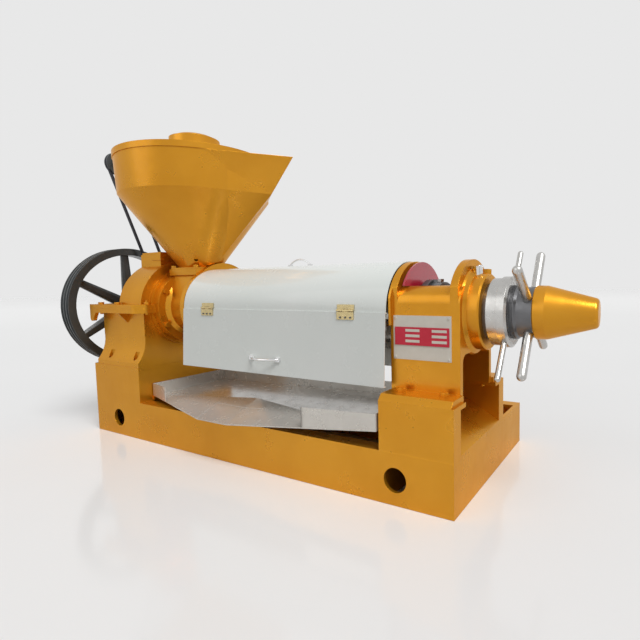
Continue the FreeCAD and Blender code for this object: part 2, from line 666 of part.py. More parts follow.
def hopper_body(inset):
    """Cone and drum with the spout; inset by the sheet it is the room inside."""
    lift = 5 if inset else 0
    profile = [V(HOP_X + x, AY, z) for x, z in (
        (0, NECK_Z - lift), (HOPPER_NECK_R - inset, NECK_Z - lift), (HOPPER_NECK_R - inset, NECK_Z),
        (HOPPER_LOW_R - inset, BAND_Z), (HOPPER_R - inset, RIM_Z), (HOPPER_R - inset, RIM_Z + lift),
        (0, RIM_Z + lift))]
    outline = [p for k, p in enumerate(profile) if k == 0 or (p - profile[k - 1]).Length > 1e-6]
    face = Part.Face(Part.makePolygon(outline + [outline[0]]))
    return face.revolve(V(HOP_X, AY, 0), V(0, 0, 1), 360).fuse(spout(inset))


def hopper():
    skin = hopper_body(0.0).cut(hopper_body(SHEET))
    top = AZ + INLET_H
    flange = box(HOP_X - 76, HOP_X + 76, AY - 78, AY + 78, top, NECK_Z)
    flange = flange.cut(post(INLET_R, HOP_X, AY, top - 1, NECK_Z + 1))
    holes = [post(6.5, x, y, top - 1, NECK_Z + 30) for x, y in seat_bolt_places()]
    return fuse([skin, flange]).cut(holes)


LID_Z = RIM_Z + SHEET
WORM_Y = AY + FEEDER_Y
WORM_Z = LID_Z + FEEDER_H
WORM_SHAFT_R = 11.0


def lid():
    """Flat lid in a raised hem, with the welded stand of the feeder shaft's outer end."""
    disc = post(HOPPER_R + 3, HOP_X, AY, RIM_Z, LID_Z)
    hem = post(HOPPER_R + 3, HOP_X, AY, LID_Z, RIM_Z + LID_T).cut(
        post(HOPPER_R, HOP_X, AY, LID_Z, RIM_Z + LID_T))
    x0 = HOP_X - HOPPER_R + 18
    eye = rod(26, x0, x0 + 30, WORM_Y, WORM_Z)
    foot = box(x0, x0 + 30, WORM_Y - 44, WORM_Y + 44, LID_Z - 1, LID_Z + 12)
    stand = box(x0 + 4, x0 + 26, WORM_Y - 22, WORM_Y + 22, LID_Z + 10, WORM_Z)
    return fuse([disc, hem, foot, stand, eye]).cut([
        post(AUGER_R + 1, HOP_X, AY, RIM_Z, LID_Z + 1),
        rod(WORM_SHAFT_R + RUN, x0 - 1, x0 + 31, WORM_Y, WORM_Z)])


def feeder_gearbox():
    drum = post(DRUM_R, HOP_X, AY, LID_Z, LID_Z + DRUM_H)
    room = post(DRUM_R - 10, HOP_X, AY, LID_Z + 8, LID_Z + DRUM_H - 8)
    nose = rod(26, HOP_X - DRUM_R - 22, HOP_X - 40, WORM_Y, WORM_Z)
    box_ = fuse([drum, nose]).cut(room)
    top = Part.makeCone(DRUM_R - 4, DRUM_R - 22, 10, V(HOP_X, AY, LID_Z + DRUM_H))
    return fuse([box_, top]).cut([
        rod(WORM_SHAFT_R + RUN, HOP_X - DRUM_R - 23, HOP_X + DRUM_R - 26, WORM_Y, WORM_Z),
        post(AUGER_R + RUN, HOP_X, AY, LID_Z - 1, LID_Z + 40)])


parts["hopper"] = hopper()
parts["hopper_lid"] = lid()
parts["feeder_gearbox"] = feeder_gearbox()
parts["hopper_bolts"] = group([bolt((x, y, NECK_Z), (0, 0, 1), 6.0, 22) for x, y in seat_bolt_places()])


# ---- feeder drive ----
def flight(r0, r1, pitch, turns, thick):
    """Helical blade about Z from z = 0: a rectangle swept along a helix."""
    spine = Part.Wire(Part.makeHelix(pitch, pitch * turns, (r0 + r1) / 2).Edges)
    section = Part.makePolygon([V(r0, 0, 0), V(r1, 0, 0), V(r1, 0, thick), V(r0, 0, thick), V(r0, 0, 0)])
    return spine.makePipeShell([section], True, True)


WORM_WHEEL_R = 36.0
WORM_CORE_R = -FEEDER_Y - WORM_WHEEL_R - 0.6
AUGER_FOOT = AZ + WORM_R + 12
AUGER_BLADE_R = INLET_R - 8
AUGER_BLADE_PITCH = 56.0
BELT_IN_LOW = SMALL_PULLEY_R - BELT_T
BELT_IN_HIGH = HIGH_PULLEY_R - 2 - BELT_T


def auger():
    shaft = post(AUGER_R, HOP_X, AY, AUGER_FOOT, LID_Z + DRUM_H - 12)
    blade = flight(AUGER_R - 1, AUGER_BLADE_R, AUGER_BLADE_PITCH, 1.5, 6.0)
    blade.translate(V(HOP_X, AY, AUGER_FOOT + 4))
    arms = []
    for z, reach, turn in ((NECK_Z + 70, 0.62, 20), (NECK_Z + 165, 0.72, 110)):
        r = (HOPPER_NECK_R + (z - NECK_Z) / HOPPER_CONE_H * (HOPPER_LOW_R - HOPPER_NECK_R)) * reach
        arm = box(HOP_X - r, HOP_X + r, AY - 7, AY + 7, z, z + 12)
        arm.rotate(V(HOP_X, AY, 0), V(0, 0, 1), turn)
        arms.append(arm)
    return fuse([shaft, blade] + arms)


def pulley(groove_r, rim_r, x, y, z, bore):
    """Single-groove pulley for the feeder belt, with its hub on the case's side."""
    w = BELT_W / 2 + GAP
    mid = x + BELT_W / 2
    return turned([(mid - w - 4, bore), (mid - w - 4, rim_r), (mid - w, rim_r), (mid - w, groove_r),
                   (mid + w, groove_r), (mid + w, rim_r), (mid + w + 4, rim_r), (mid + w + 4, 24),
                   (mid + w + 16, 24), (mid + w + 16, bore)], y, z)


def feeder_belt():
    low, high = (MID_Y, AZ), (WORM_Y, WORM_Z)
    dy, dz = high[0] - low[0], high[1] - low[1]
    span = math.hypot(dy, dz)
    line = math.atan2(dz, dy)

    def loop(r_low, r_high):
        lean = math.acos((r_low - r_high) / span)

        def at(centre, r, angle):
            return (centre[0] + r * math.cos(angle), centre[1] + r * math.sin(angle))

        return [at(low, r_low, line + lean), (at(low, r_low, line + math.pi), at(low, r_low, line - lean)),
                at(high, r_high, line - lean), (at(high, r_high, line), at(high, r_high, line + lean))]

    low_r, high_r = BELT_IN_LOW + GAP, BELT_IN_HIGH + GAP
    outer = prism_x(loop(low_r + BELT_T, high_r + BELT_T), BELT_X, BELT_X + BELT_W)
    inner = prism_x(loop(low_r, high_r), BELT_X - 1, BELT_X + BELT_W + 1)
    return outer.cut(inner)


def feeder_shaft():
    end = HOP_X + DRUM_R - 28
    return turned([(BELT_X - 8, 0), (BELT_X - 8, WORM_SHAFT_R), (HOP_X - 40, WORM_SHAFT_R),
                   (HOP_X - 40, WORM_CORE_R), (HOP_X + 40, WORM_CORE_R), (HOP_X + 40, WORM_SHAFT_R),
                   (end, WORM_SHAFT_R), (end, 0)], WORM_Y, WORM_Z)


parts["auger"] = auger()
parts["worm_wheel"] = post(WORM_WHEEL_R, HOP_X, AY, WORM_Z - 11, WORM_Z + 11).cut(
    post(AUGER_R + FIT, HOP_X, AY, WORM_Z - 12, WORM_Z + 12))
parts["feeder_shaft"] = feeder_shaft()
parts["feeder_pulley"] = pulley(BELT_IN_HIGH, HIGH_PULLEY_R, BELT_X, WORM_Y, WORM_Z, WORM_SHAFT_R + FIT)
parts["small_pulley"] = pulley(BELT_IN_LOW, SMALL_PULLEY_R + 1, BELT_X, MID_Y, AZ, 17 + FIT)
parts["feeder_belt"] = feeder_belt()

# ---- press cage ----
BAR_OUT = CAGE_BORE + BAR_T
RING_BORE = BAR_OUT + GAP
SPLIT_BAR = 20.0
END_RING_W = 20.0


def cage_rings():
    """Drive-side face of each ring; the first and last are the end flanges."""
    first, last = CAGE_X, FRAME_X - END_RING_W
    inner = [first + (last - first) * k / (RINGS + 1) for k in range(1, RINGS + 1)]
    return [(first, END_RING_W)] + [(x, RING_W) for x in inner] + [(last, END_RING_W)]


def cage_bolt_places():
    xs = [x + w for x, w in cage_rings()]
    return [((xs[k] + xs[k + 1] - RING_W) / 2, AY + side * (CAGE_R - 16)) for k in (0, 2, 4, 6)
            for side in (-1, 1)]


def cage_half(keep, sign):
    pieces = [keep(ring(CAGE_R, RING_BORE, x, x + w)) for x, w in cage_rings()]
    z0, z1 = sorted((AZ, AZ + sign * SPLIT_BAR))
    for y0 in (AY - CAGE_R + 1, AY + RING_BORE + 1):
        pieces.append(box(CAGE_X, FRAME_X, y0, y0 + CAGE_R - RING_BORE - 2, z0, z1))
    z0, z1 = sorted((AZ + sign * (RING_BORE + 8), AZ + sign * (CAGE_R - 6)))
    pieces.append(box(CAGE_X, FRAME_X, AY - 8, AY + 8, z0, z1))
    half = fuse(pieces)
    holes = [post(8.5, x, y, AZ - 30, AZ + 30) for x, y in cage_bolt_places()]
    return half.cut(holes)


def press_bars():
    share = math.radians(180.0 / BARS)
    w_in = CAGE_BORE * math.tan(share) - 0.3
    a_out = share - 0.0035
    y_out, w_out = BAR_OUT * math.cos(a_out), BAR_OUT * math.sin(a_out)
    bar = prism_x([(AY + CAGE_BORE, AZ - w_in), (AY + y_out, AZ - w_out), (AY + y_out, AZ + w_out),
                   (AY + CAGE_BORE, AZ + w_in)], CAGE_X, FRAME_X)
    return group([around(bar, 360.0 / BARS * k) for k in range(BARS)])


parts["cage_upper"] = cage_half(upper, 1)
parts["cage_lower"] = cage_half(lower, -1)
parts["press_bars"] = press_bars()
parts["cage_bolts"] = group([bolt((x, y, AZ + SPLIT_BAR), (0, 0, 1), 8.0, 2 * SPLIT_BAR + 12)
                             for x, y in cage_bolt_places()])


# ---- screw ----
def worm(x, length, root0, root1, pitch, turns):
    """One section of the screw: a tapered root with a single helical flight."""
    root = turned([(x, CORE_R + FIT), (x, root0), (x + length, root1), (x + length, CORE_R + FIT)])
    blade = flight(min(root0, root1) - 1.5, WORM_R, pitch, turns, FLIGHT_T)
    blade.Placement = FreeCAD.Placement(V(x + 2, AY, AZ), FreeCAD.Rotation(V(0, 1, 0), 90))
    return fuse([root, blade])


COLLAR_X = FRAME_X + 54.0
SET_SCREW_R = 6.0
SET_SCREW_L = 15.0
CHOKE_X = FRAME_X - 12.0
WORM_END = CHOKE_X - 1.0
SHAFT_SHOULDER_X = XP - CASE_WALL - 6


def press_worms():
    count = len(WORM_ROOTS)
    start = CAGE_X + 2
    length = (WORM_END - start) / count
    worms = []
    for k in range(count):
        root1 = WORM_ROOTS[k] + 4
        turns = min(1.15, (length - FLIGHT_T - 4) / WORM_PITCHES[k])
        worms.append(worm(start + k * length, length - 0.5, WORM_ROOTS[k], root1, WORM_PITCHES[k], turns))
    return group(worms)


THRUST_X = FRAME_END - 12.0
THRUST_W = 30.0


def main_shaft():
    x0 = WEB_X + WEB_L / 2 + TRAVEL + 1
    return turned([(x0, 0), (x0, STUB_R), (SECOND_X - 8, STUB_R), (SECOND_X - 8, MAIN_R),
                   (FEED_X + 1, MAIN_R), (FEED_X + 1, CORE_R), (COLLAR_X + 62, CORE_R),
                   (COLLAR_X + 62, MAIN_R), (THRUST_X - 22, MAIN_R), (THRUST_X - 22, 58),
                   (THRUST_X - 1, 58), (THRUST_X - 1, MAIN_R), (MAIN_END, MAIN_R - 2),
                   (MAIN_END, 0)])


def choke_collar():
    return turned([(COLLAR_X, CORE_R + FIT), (COLLAR_X, COLLAR_R - 6), (COLLAR_X + 6, COLLAR_R),
                   (COLLAR_X + 26, COLLAR_R), (COLLAR_X + 26, COLLAR_R - 8), (COLLAR_X + 58, COLLAR_R - 8),
                   (COLLAR_X + 58, CORE_R + FIT)]).cut(
        post(SET_SCREW_R + FIT, COLLAR_X + 42, AY, AZ + COLLAR_R - 8 - SET_SCREW_L, AZ + COLLAR_R))


parts["main_shaft"] = main_shaft()
parts["feed_worm"] = worm(FEED_X + 4, FEED_L - 4, 42, 46, 104, 1.6)
parts["press_worms"] = press_worms()
parts["choke_cone"] = turned([(CHOKE_X, CORE_R + FIT), (CHOKE_X, 62), (CHOKE_X + 34, 68.5),
                              (CHOKE_X + 52, 60), (CHOKE_X + 52, CORE_R + FIT)])
parts["choke_collar"] = choke_collar()
parts["collar_screw"] = bolt((COLLAR_X + 42, AY, AZ + COLLAR_R - 7.5), (0, 0, 1), SET_SCREW_R, SET_SCREW_L - 1)

# ---- discharge frame ----
FRAME_HALF = FRAME_W / 2
ROOF_R = 48.0
EAR_HALF = 140.0
OUTLET_TOP = AZ - 109.0
WALL_X = FRAME_END - 28.0        # inner face of the wall that carries the boss


def arch(half, z0, x0, x1):
    rise = math.sqrt(ARCH_R ** 2 - half ** 2)
    return prism_x([(AY - half, z0), (AY - half, AZ + rise), ((AY, AZ + ARCH_R), (AY + half, AZ + rise)),
                    (AY + half, z0)], x0, x1)


def frame_side(sign):
    """Front or rear wall with its rounded roof edge and its foot."""
    h, t, r, top = FRAME_HALF, FRAME_WALL, ROOF_R, AZ + FRAME_TOP
    k, m = r * (1 - math.sqrt(0.5)), (r - t) * (1 - math.sqrt(0.5))

    def y(v):
        return AY + sign * v

    wall = prism_x([(y(h), PEDESTAL_H), (y(h), top - r), ((y(h - k), top - k), (y(h - r), top)),
                    (y(h - r), top - t), ((y(h - t - m), top - t - m), (y(h - t), top - r)),
                    (y(h - t), PEDESTAL_H)], FRAME_X, FRAME_END)
    edge = PEDESTAL_W / 2
    foot = prism_x([(y(edge), PEDESTAL_H), (y(edge - FRAME_FOOT_T), PEDESTAL_H + FRAME_FOOT_T),
                    (y(h - 1), PEDESTAL_H + FRAME_FOOT_T), (y(h - 1), PEDESTAL_H)], FRAME_X + 6, FRAME_END + 8)
    return [wall, foot]


def discharge_frame():
    r = 24.0
    h = FRAME_HALF - FRAME_WALL
    outlet = prism_x([(AY - h, PEDESTAL_H - 1), (AY - h, OUTLET_TOP - r),
                      ((AY - h + r * 0.293, OUTLET_TOP - r * 0.293), (AY - h + r, OUTLET_TOP)),
                      (AY + h - r, OUTLET_TOP),
                      ((AY + h - r * 0.293, OUTLET_TOP - r * 0.293), (AY + h, OUTLET_TOP - r)),
                      (AY + h, PEDESTAL_H - 1)], WALL_X - 1, FRAME_END + 1)
    wall_top = [(AY - FRAME_HALF, PEDESTAL_H), (AY - FRAME_HALF, AZ + FRAME_TOP - ROOF_R),
                ((AY - FRAME_HALF + ROOF_R * 0.293, AZ + FRAME_TOP - ROOF_R * 0.293),
                 (AY - FRAME_HALF + ROOF_R, AZ + FRAME_TOP)),
                (AY + FRAME_HALF - ROOF_R, AZ + FRAME_TOP),
                ((AY + FRAME_HALF - ROOF_R * 0.293, AZ + FRAME_TOP - ROOF_R * 0.293),
                 (AY + FRAME_HALF, AZ + FRAME_TOP - ROOF_R)), (AY + FRAME_HALF, PEDESTAL_H)]
    end_wall = fuse([prism_x(wall_top, WALL_X, FRAME_END),
                     arch(FRAME_HALF, AZ, WALL_X, WALL_X + ARCH_T)]).cut(outlet)
    boss = turned([(FRAME_END - 8, 60), (FRAME_END - 8, CAKE_BOSS_R + 16), (FRAME_END, CAKE_BOSS_R + 12),
                   (FRAME_END + 8, CAKE_BOSS_R), (BOSS_END - 4, CAKE_BOSS_R), (BOSS_END, CAKE_BOSS_R - 4),
                   (BOSS_END, 60)])
    ears = arch(EAR_HALF, AZ - 34, FRAME_X, FRAME_X + 7)
    frame = fuse([arch(FRAME_HALF, PEDESTAL_H, FRAME_X, FRAME_X + ARCH_T), ears, end_wall, boss]
                 + frame_side(-1) + frame_side(1))
    holes = [rod(SLEEVE_R + GAP, WALL_X - 1, BOSS_END + 1), rod(CAGE_BORE + 5, FRAME_X - 1, FRAME_X + ARCH_T + 1)]
    _, places = foot_bolt_places()
    holes += [post(FOOT_HOLE_R, x, y, PEDESTAL_H - 1, PEDESTAL_H + FRAME_FOOT_T + 1) for x, y in places]
    holes += boss_holes()
    return frame.cut(holes)


def boss_fitting(x, degrees):
    """Seat on the boss, in a spot face, and the direction out of it."""
    a = math.radians(degrees)
    way = V(0, math.cos(a), math.sin(a))
    return V(x, AY, AZ) + way * (CAKE_BOSS_R - 1), way


PLUG_R = 14.0
PLUG_STEM_R = 9.0
CLAMP_R = 7.0
FITTING_DEPTH = 14.0
PLUG_SEAT = boss_fitting(FRAME_END + 10, 100.0)
CLAMP_SEAT = boss_fitting(FRAME_END + 26, 84.0)


def boss_holes():
    tools = []
    for (seat, way), stem, spot in ((PLUG_SEAT, PLUG_STEM_R, PLUG_R), (CLAMP_SEAT, CLAMP_R, 1.75 * CLAMP_R)):
        tools.append(Part.makeCylinder(stem + FIT, FITTING_DEPTH + 20, seat + way * 20, way * -1))
        tools.append(Part.makeCylinder(spot + GAP, 30, seat, way))
    return tools


def boss_plug():
    seat, way = PLUG_SEAT
    return fuse([Part.makeCylinder(PLUG_STEM_R, FITTING_DEPTH - 2, seat, way * -1),
                 Part.makeCylinder(PLUG_R, 24, seat, way)])


def boss_bolt():
    seat, way = CLAMP_SEAT
    return bolt((seat.x, seat.y, seat.z), (way.x, way.y, way.z), CLAMP_R, FITTING_DEPTH - 2, 0.9)


GUARD_X = FRAME_X + 36.0
GUARD_T = 5.0
NAMEPLATE = (10.0, 183.0, 127.0, 6.0)    # left, right, below and above the axis
RIVET_R = 3.0


def discharge_guard():
    """Half disc standing in the window over the cake outlet."""
    base = AZ + FRAME_TOP
    half = math.sqrt(GUARD_R ** 2 - FRAME_TOP ** 2) - 2
    rise = math.sqrt(GUARD_R ** 2 - half ** 2)
    inner = FRAME_HALF - ROOF_R - GAP
    disc = prism_x([(AY - half, base), (AY - half, AZ + rise), ((AY, AZ + GUARD_R), (AY + half, AZ + rise)),
                    (AY + half, base)], GUARD_X, GUARD_X + GUARD_T)
    tongue = box(GUARD_X, GUARD_X + GUARD_T, AY - inner, AY + inner, AZ + 30, base + 1)
    return fuse([disc, tongue]).cut(rod(COLLAR_R - 14, GUARD_X - 1, GUARD_X + GUARD_T + 1))


def nameplate_corners(inset=0.0):
    left, right, below, above = NAMEPLATE
    return [(FRAME_X + x, z) for x in (left + inset, right - inset)
            for z in (AZ - below + inset, AZ - above - inset)]


def nameplate():
    (x0, z0), (_, z1), (x1, _), _ = nameplate_corners()
    y = AY - FRAME_HALF
    plate = box(x0, x1, y - 1.5, y, z0, z1)
    rivets = [Part.makeCylinder(RIVET_R, 1.4, V(x, y - 1.5, z), V(0, -1, 0)) for x, z in nameplate_corners(7)]
    return fuse([plate] + rivets)


parts["discharge_frame"] = discharge_frame()
parts["discharge_guard"] = discharge_guard()
parts["boss_plug"] = boss_plug()
parts["boss_bolt"] = boss_bolt()
parts["nameplate"] = nameplate()

# ---- adjusting end ----
SLEEVE_X = FRAME_END - 20.0
COLLAR_END = BOSS_END + 40.0
LOCK_X = COLLAR_END + 1.0
HUB_X = LOCK_X + LOCK_W + 12.0
HUB_END = HUB_X + 46.0
ROD_X = HUB_X + 33.0
THREAD_R = 72.0


def adjusting_sleeve():
    inner = THRUST_X + THRUST_W + 6
    body = turned([(SLEEVE_X, 70.5), (SLEEVE_X, SLEEVE_R), (BOSS_END + 14, SLEEVE_R),
                   (COLLAR_END, SLEEVE_R), (COLLAR_END, THREAD_R), (HUB_X, THREAD_R),
                   (HUB_X + 6, HUB_R), (HUB_END, HUB_R), (HUB_END, 46), (inner, 46), (inner, 70.5)])
    for k in range(3):
        g = LOCK_X + LOCK_W + 2 + 3.4 * k
        body = body.cut(ring(THREAD_R + 1, THREAD_R - 2.2, g, g + 1.6))
    holes = [around(post(ROD_R + FIT, ROD_X, AY, AZ + 50, AZ + HUB_R + 2), ROD_TURN - 90 + 90 * k)
             for k in range(4)]
    return body.cut(holes)


def radial_rod(r, x, r0, r1, degrees):
    tip = Part.makeSphere(r, V(x, AY, AZ + r1 - r))
    return around(fuse([post(r, x, AY, AZ + r0, AZ + r1 - r), tip]), degrees - 90)


def lock_ring():
    body = turned([(LOCK_X, THREAD_R + GAP), (LOCK_X, HUB_FLANGE_R), (LOCK_X + LOCK_W - 5, HUB_FLANGE_R),
                   (LOCK_X + LOCK_W, HUB_FLANGE_R - 8), (LOCK_X + LOCK_W, THREAD_R + GAP)])
    holes = [around(post(LOCK_ROD_R + FIT, LOCK_X + 12, AY, AZ + HUB_FLANGE_R - 18, AZ + HUB_FLANGE_R + 2),
                    ROD_TURN - 90 + 180 * k) for k in range(2)]
    return body.cut(holes)


def end_cap():
    x = HUB_END
    big, small = CONE_R
    tip = x + CONE_L
    return turned([(x - 14, 0), (x - 14, 46 - GAP), (x, 46 - GAP), (x, big - 3), (x + 3, big), (x + 30, big - 1),
                   (tip - 8, small + 1.5), ((tip - 2, small - 2.5), (tip, small - 9)), (tip, 0)])


parts["adjusting_sleeve"] = adjusting_sleeve()
parts["polished_collar"] = ring(LOCK_R, SLEEVE_R + FIT, BOSS_END + 14, COLLAR_END)
parts["lock_ring"] = lock_ring()
parts["lock_rods"] = group([radial_rod(LOCK_ROD_R, LOCK_X + 12, HUB_FLANGE_R - 17, LOCK_ROD_TIP, ROD_TURN + 180 * k)
                            for k in range(2)])
parts["hub_rods"] = group([radial_rod(ROD_R, ROD_X, 51, ROD_TIP, ROD_TURN + 90 * k) for k in range(4)])
parts["end_cap"] = end_cap()
parts["thrust_bearing"] = ring(70.2, MAIN_R + RUN, THRUST_X, THRUST_X + THRUST_W)

# ---- cover and door ----
RAIL_Y = (128.3, 139.7)
RAIL_Z = (AZ - 16.0, AZ - 2.0)
COVER_X0, COVER_X1 = CAGE_X + 1.0, FRAME_X - 4.0
DOOR_Y = AY - COVER_R - GAP                  # inner face of the door at its top
DOOR_TOP = AZ + 1.5
HINGE_Y = DOOR_Y - COVER_T - 1.7
HINGE_Z = AZ + 6.0
HINGE_R = 3.5
HINGE_W = 60.0
HINGE_X = (COVER_X0 + 134, COVER_X1 - 134)
REAR_HINGE_Y = AY + COVER_R + 5.5
REAR_HINGE_Z = AZ - 4.0
PIN_R = 3.0               # pins of the cover's hinges
LEAF_PIN_R = 1.5          # pins of the door's hinges


def front_rail():
    return box(CAGE_X, FRAME_X, AY - RAIL_Y[1], AY - RAIL_Y[0], *RAIL_Z)


def rear_panel():
    """Rear rail with the fixed back panel below it and the brackets of the cover's hinges."""
    y0, y1 = AY + RAIL_Y[0], AY + RAIL_Y[1]
    pieces = [box(CAGE_X, FRAME_X, y0, y1, *RAIL_Z),
              box(COVER_X0, COVER_X1, y1 - COVER_T, y1, AZ - DOOR_DROP, RAIL_Z[0] + 1)]
    for x in HINGE_X:
        pieces.append(box(x - 12, x + 12, y1 - 1, REAR_HINGE_Y, RAIL_Z[0], RAIL_Z[0] + 7))
        pieces.append(rod(PIN_R + 3, x - 12, x + 12, REAR_HINGE_Y, REAR_HINGE_Z))
    return fuse(pieces).cut([rod(PIN_R + RUN, x - 13, x + 13, REAR_HINGE_Y, REAR_HINGE_Z) for x in HINGE_X])


def cover_shell():
    skin = upper(ring(COVER_R, COVER_R - COVER_T, COVER_X0, COVER_X1))
    lip = box(COVER_X0, COVER_X1, AY - COVER_R + 1, AY - RAIL_Y[0] - 2, AZ - 1.7, AZ + 0.8)
    edge = box(COVER_X0, COVER_X1, AY - COVER_R, AY - COVER_R + COVER_T, AZ - 1.7, AZ + 0.1)
    back = box(COVER_X0, COVER_X1, AY + RAIL_Y[0] + 2, AY + COVER_R - 1, AZ - 1.7, AZ + 0.8)
    ears, bores = [], []
    for x in HINGE_X:
        for x0, x1 in ((x - 22, x - 12.5), (x + 12.5, x + 22)):
            ears.append(box(x0, x1, AY + COVER_R - 1.5, REAR_HINGE_Y + 3, AZ - 1.7, AZ + 8))
            ears.append(rod(PIN_R + 3, x0, x1, REAR_HINGE_Y, REAR_HINGE_Z))
            bores.append(rod(PIN_R + FIT, x0 - 1, x1 + 1, REAR_HINGE_Y, REAR_HINGE_Z))
    return fuse([skin, lip, edge, back] + ears).cut(bores)


def leaned(path):
    """Door outline in (y out from the top, z): the foot stands out by the door's lean."""
    return [(DOOR_Y - y - DOOR_LEAN * (AZ - z) / DOOR_DROP if z < AZ else DOOR_Y - y, z) for y, z in path]


def front_door():
    foot = AZ - DOOR_DROP
    plate = prism_x(leaned([(0, DOOR_TOP), (COVER_T, DOOR_TOP), (COVER_T, AZ), (COVER_T, foot), (-9, foot),
                            (-9, foot + COVER_T), (0, foot + COVER_T), (0, AZ)]), COVER_X0, COVER_X1)
    return plate


def door_face(z):
    return DOOR_Y - COVER_T - DOOR_LEAN * (AZ - z) / DOOR_DROP


def bow(a, b, out, r):
    """Round bar bent in an arc from a to b, standing out by the vector out, with short feet."""
    a, b, out = V(*a), V(*b), V(*out)
    arc = Part.Arc(a, (a + b) * 0.5 + out, b).toShape()
    path = Part.Wire([arc])
    start = arc.tangentAt(arc.FirstParameter)
    profile = Part.Wire([Part.makeCircle(r, a, start)])
    return path.makePipeShell([profile], True, False)


def door_pull():
    z = AZ - 155.0
    y = door_face(z)
    x0, x1 = COVER_X0 + 0.5 * (COVER_X1 - COVER_X0) - 76, COVER_X0 + 0.5 * (COVER_X1 - COVER_X0) + 40
    feet = [box(x - 9, x + 9, y - 5, y, z - 7, z + 7) for x in (x0, x1)]
    bar = bow((x0, y - 3, z), (x1, y - 3, z), (0, -26, 0), 4.0)
    return around(fuse(feet + [bar]), -math.degrees(math.atan(DOOR_LEAN / DOOR_DROP)), y, z)


def cover_handle():
    z = AZ + COVER_R
    mid = (COVER_X0 + COVER_X1) / 2
    feet = [box(x - 6, x + 6, AY - 6, AY + 6, z, z + 5) for x in (mid - 45, mid + 45)]
    bar = bow((mid - 45, AY, z + 4), (mid + 45, AY, z + 4), (0, 0, 18), 2.5)
    return fuse(feet + [bar])


def knuckles(xs, y, z, r, bore, leaf):
    """Hinge half: barrels at the given spans along X joined to their leaf."""
    barrels = [ring(r, bore, x0, x1, y, z) for x0, x1 in xs]
    return fuse(barrels + [leaf.cut(group([rod(r - 0.5, x0, x1, y, z) for x0, x1 in xs]))])


def door_hinges():
    """Leaves on the cover, leaves on the door, and the pins."""
    ups, downs, pins = [], [], []
    third = HINGE_W / 3
    for x in HINGE_X:
        a, b = x - HINGE_W / 2, x + HINGE_W / 2
        upleaf = box(a, b, HINGE_Y + 2.2, DOOR_Y + 0.1, HINGE_Z - 1, HINGE_Z + 17)
        upleaf = upleaf.cut(box(a + third - GAP, b - third + GAP, HINGE_Y - 9, AY, HINGE_Z - 9, HINGE_Z + 4))
        ups.append(knuckles([(a, a + third - GAP), (b - third + GAP, b)], HINGE_Y, HINGE_Z, HINGE_R, LEAF_PIN_R + FIT,
                            upleaf))
        downleaf = box(a, b, HINGE_Y - 1.6, door_face(DOOR_TOP - 22) - 0.05, DOOR_TOP - 22, HINGE_Z - 1)
        downleaf = downleaf.cut(box(a - 1, a + third, HINGE_Y - 9, AY, DOOR_TOP, HINGE_Z))
        downleaf = downleaf.cut(box(b - third, b + 1, HINGE_Y - 9, AY, DOOR_TOP, HINGE_Z))
        downs.append(knuckles([(a + third, b - third)], HINGE_Y, HINGE_Z, HINGE_R, LEAF_PIN_R + RUN, downleaf))
        pins.append(rod(LEAF_PIN_R, a, b, HINGE_Y, HINGE_Z))
    return group(ups), group(downs), pins


parts["front_rail"] = front_rail()
parts["rear_panel"] = rear_panel()
parts["cover_shell"] = cover_shell()
parts["front_door"] = front_door()
parts["door_pull"] = door_pull()
parts["cover_handle"] = cover_handle()
parts["door_hinge_upper"], parts["door_hinge_lower"], door_pins = door_hinges()
parts["hinge_pins"] = group([rod(PIN_R, x - 23, x + 23, REAR_HINGE_Y, REAR_HINGE_Z) for x in HINGE_X] + door_pins)

# ---- oil tray ----
TRAY_X0, TRAY_X1 = XP + 4.0, XQ - 6.0
TRAY_YF = YF + TRAY_FRONT
TRAY_YB = YM - TRAY_BACK
TRAY_SLOPE = (TRAY_RIGHT_Z - TRAY_LEFT_Z) / (TRAY_X1 - TRAY_X0)
RUNNER_W = 25.0


def floor_z(x):
    return TRAY_LEFT_Z + TRAY_SLOPE * (x - TRAY_X0)


def tray_solid(lift, inset):
    """Everything over the tray's floor, which falls to a pouring lip at the front."""
    x0, x1 = TRAY_X0, TRAY_X1
    lip0, lip1 = XP + LIP[0], XP + LIP[1]
    front = YF - LIP_OUT - (5 if inset else 0)
    right_front = YF - 3.0
    apex = ((lip0 + lip1) / 2, TRAY_YF + 110.0)
    corners = {"A": (x0, TRAY_YB, floor_z(x0)), "B": (x0, TRAY_YF, floor_z(x0)),
               "C": (lip0, front, LIP_Z), "D": (lip1, front, LIP_Z),
               "E": (x1, right_front, floor_z(x1)), "F": (x1, TRAY_YB, floor_z(x1)),
               "G": (apex[0], apex[1], floor_z(apex[0]))}
    solids = []
    for names in ("ABG", "BCG", "CDG", "DEG", "EFG", "FAG"):
        points = [V(*corners[n]) + V(0, 0, lift) for n in names]
        face = Part.Face(Part.makePolygon(points + [points[0]]))
        solids.append(face.extrude(V(0, 0, 160)))
    solid = fuse(solids)
    if inset:
        t = TRAY_T
        plan = [(x0 + t, TRAY_YB - t), (x0 + t, TRAY_YF + 0.7), (lip0 + 6, front + 1), (lip1 - 6, front + 1),
                (x1 - t, right_front + t * 1.1), (x1 - t, TRAY_YB - t)]
        solid = solid.common(prism_z(plan, 0, AZ))
    return solid


